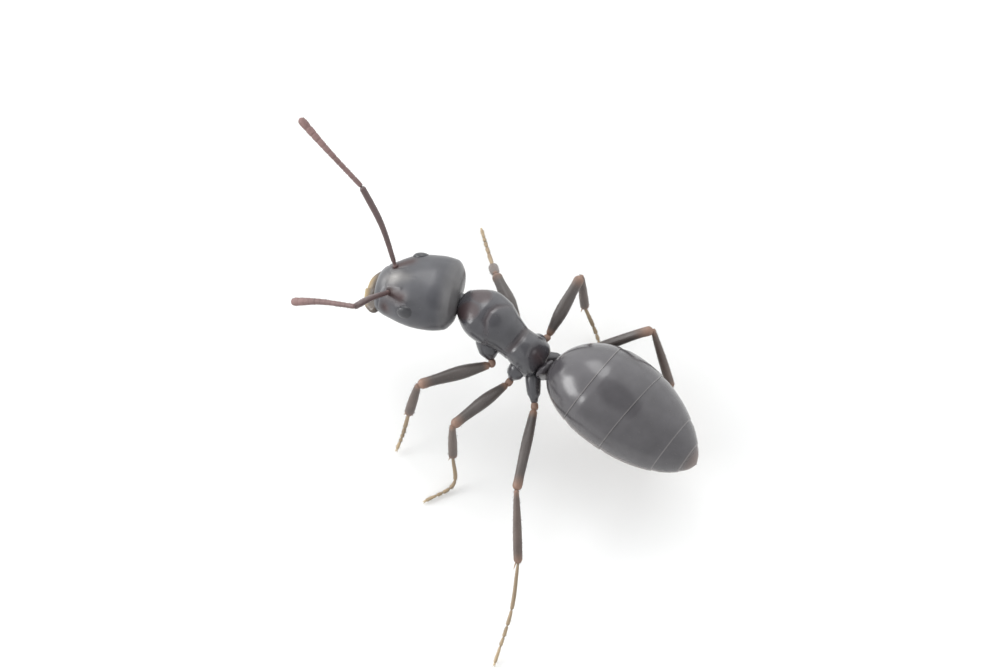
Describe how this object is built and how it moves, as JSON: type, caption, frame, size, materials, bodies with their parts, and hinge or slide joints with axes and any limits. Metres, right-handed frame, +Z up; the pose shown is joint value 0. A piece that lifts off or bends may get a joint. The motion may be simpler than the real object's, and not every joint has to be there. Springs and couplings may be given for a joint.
{
  "type": "ant, life-size still model",
  "caption": "Glossy black worker ant at life size, standing on its feet with its head turned left and its feelers spread forward.",
  "frame": {"origin": "on the floor, under the middle of the ant's own box", "axes": "+Z up, the ant's trunk faces -Y, its left side is +X"},
  "size_m": [0.005, 0.007, 0.0027],
  "materials": {
    "shell": "glossy near-black cuticle with fine wrinkling and a cool grey sheen",
    "gaster": "satin near-black cuticle with fine cross striation and paler rims on its plates",
    "eye": "black faceted compound eye",
    "mandible": "amber brown, darker at the teeth",
    "leg": "dark brown-black with red-brown joints",
    "foot": "translucent yellow-brown",
    "feeler": "red-brown, slightly dull with fine down"
  },
  "bodies": {
    "root": {"head": "shell", "eye_left": "eye", "mandible_left": "mandible", "eye_right": "eye", "mandible_right": "mandible", "pronotum": "shell", "mesonotum": "shell", "propodeum": "shell", "petiole": "shell", "gaster_segment_1": "gaster", "gaster_segment_2": "gaster", "gaster_segment_3": "gaster", "gaster_segment_4": "gaster", "gaster_segment_5": "gaster", "coxa_front_left": "leg", "femur_front_left": "leg", "tibia_front_left": "leg", "tarsus_front_left": "foot", "coxa_front_right": "leg", "femur_front_right": "leg", "tibia_front_right": "leg", "tarsus_front_right": "foot", "coxa_middle_left": "leg", "femur_middle_left": "leg", "tibia_middle_left": "leg", "tarsus_middle_left": "foot", "coxa_middle_right": "leg", "femur_middle_right": "leg", "tibia_middle_right": "leg", "tarsus_middle_right": "foot", "coxa_hind_left": "leg", "femur_hind_left": "leg", "tibia_hind_left": "leg", "tarsus_hind_left": "foot", "coxa_hind_right": "leg", "femur_hind_right": "leg", "tibia_hind_right": "leg", "tarsus_hind_right": "foot", "antenna_left_scape": "feeler", "antenna_left_lash": "feeler", "antenna_right_scape": "feeler", "antenna_right_lash": "feeler"}
  },
  "joints": []
}
